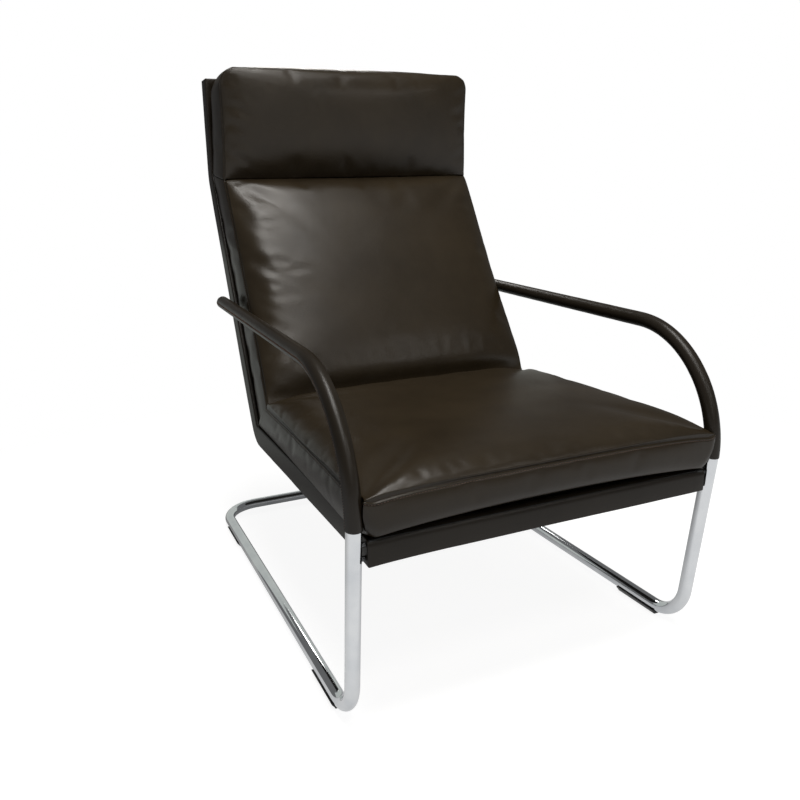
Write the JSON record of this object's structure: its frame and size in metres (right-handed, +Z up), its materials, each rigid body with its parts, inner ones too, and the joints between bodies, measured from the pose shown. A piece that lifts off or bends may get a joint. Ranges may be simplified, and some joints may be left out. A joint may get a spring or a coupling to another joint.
{
  "type": "cantilever lounge chair",
  "caption": "Cantilever lounge chair: a bent chromed tube frame on floor runners carries a leather-covered shell with seat, back and head pads between leather-sleeved arms.",
  "frame": {"origin": "on the floor, under the middle of the chair's width and of its depth", "axes": "+Z up; the sitter looks along -Y, so the seat's front edge is on the -Y side; +X is the sitter's left side"},
  "size_m": [0.7096, 1.0632, 1.116],
  "materials": {
    "frame_tube": "polished chrome plate on bent steel tube",
    "spacer_chrome": "polished chrome plate",
    "fixing_steel": "zinc-plated steel",
    "inner_steel": "black painted steel, hidden",
    "glide": "matte black moulded plastic",
    "arm_leather": "semi-matte dark brown leather, sewn along the underside",
    "shell_leather": "semi-matte dark brown leather, stretched",
    "pad_leather": "soft semi-matte dark brown leather with fine grain and tone-on-tone seams",
    "webbing": "black elastic webbing, hidden",
    "lining": "black lining cloth and hook tape"
  },
  "bodies": {
    "runner_base": {"left_floor_tube": "frame_tube", "right_floor_tube": "frame_tube", "left_front_glide": "glide", "left_rear_glide": "glide", "right_front_glide": "glide", "right_rear_glide": "glide", "rear_bar_spigot": "inner_steel"},
    "seat_unit": {"left_arm_tube": "frame_tube", "right_arm_tube": "frame_tube", "left_arm_sleeve": "arm_leather", "right_arm_sleeve": "arm_leather", "left_arm_plug": "arm_leather", "right_arm_plug": "arm_leather", "left_side_rail": "inner_steel", "right_side_rail": "inner_steel", "front_cross_rail": "inner_steel", "bend_cross_rail": "inner_steel", "neck_cross_rail": "inner_steel", "top_cross_rail": "inner_steel", "left_upper_bolt": "fixing_steel", "left_lower_bolt": "fixing_steel", "right_upper_bolt": "fixing_steel", "right_lower_bolt": "fixing_steel", "left_upper_spacer": "spacer_chrome", "left_lower_spacer": "spacer_chrome", "right_upper_spacer": "spacer_chrome", "right_lower_spacer": "spacer_chrome", "left_upper_nut": "fixing_steel", "left_lower_nut": "fixing_steel", "right_upper_nut": "fixing_steel", "right_lower_nut": "fixing_steel", "seat_strap_1": "webbing", "seat_strap_2": "webbing", "seat_strap_3": "webbing", "seat_strap_4": "webbing", "seat_strap_5": "webbing", "seat_strap_6": "webbing", "back_strap_1": "webbing", "back_strap_2": "webbing", "back_strap_3": "webbing", "back_strap_4": "webbing", "back_strap_5": "webbing", "head_strap": "webbing", "shell_cover": "shell_leather", "pad_liner": "lining", "seat_front_grip": "lining", "seat_rear_grip": "lining", "back_lower_grip": "lining", "back_upper_grip": "lining", "head_grip": "lining", "seat_pad": "pad_leather", "back_pad": "pad_leather", "head_pad": "pad_leather"}
  },
  "joints": [
    {"name": "cantilever_flex", "type": "hinge", "parent": "runner_base", "child": "seat_unit", "pos_m": [0, -0.47236, 0.08564], "axis": [-1, 0, 0], "range_deg": [-0.5, 3.5], "stiffness_Nm_per_rad": 4800, "springref_deg": -1.52}
  ]
}
